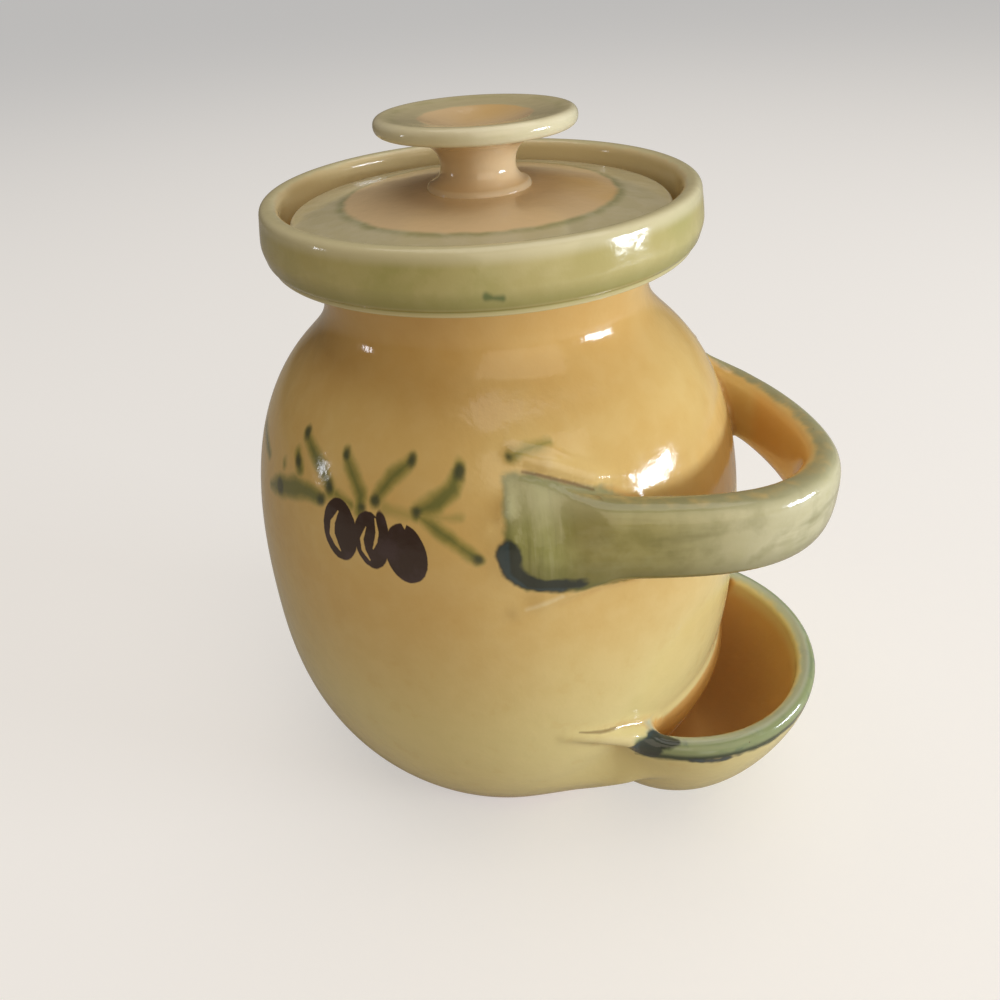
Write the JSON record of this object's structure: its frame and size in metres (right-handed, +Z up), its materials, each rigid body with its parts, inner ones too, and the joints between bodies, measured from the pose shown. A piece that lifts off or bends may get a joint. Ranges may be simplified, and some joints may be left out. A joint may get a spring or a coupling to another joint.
{
  "type": "lidded olive jar",
  "caption": "Glazed earthenware olive jar with a sunk lid that lifts off, a strap loop at the shoulder for the serving spoon and an open drip cup below it.",
  "frame": {"origin": "on the jar's axis in the plane of the foot, which is the table", "axes": "+Z up along the jar's axis, +X towards the strap loop and the drip cup"},
  "size_m": [0.1383, 0.1154, 0.16],
  "materials": {
    "yellow_glaze": "glossy honey yellow glaze",
    "green_glaze": "glossy brushed copper green glaze",
    "bare_clay": "matt unglazed earthenware"
  },
  "bodies": {
    "jar": {"jar_body": "yellow_glaze", "foot_ring": "bare_clay", "rim_gallery": "green_glaze", "strap_loop": "green_glaze", "drip_cup": "yellow_glaze"},
    "lid": {"lid_plate": "yellow_glaze", "lid_knob": "yellow_glaze"}
  },
  "joints": [
    {"name": "lid_lift", "type": "slide", "parent": "jar", "child": "lid", "axis": [0, 0, 1], "range_m": [0, 0.1]}
  ]
}
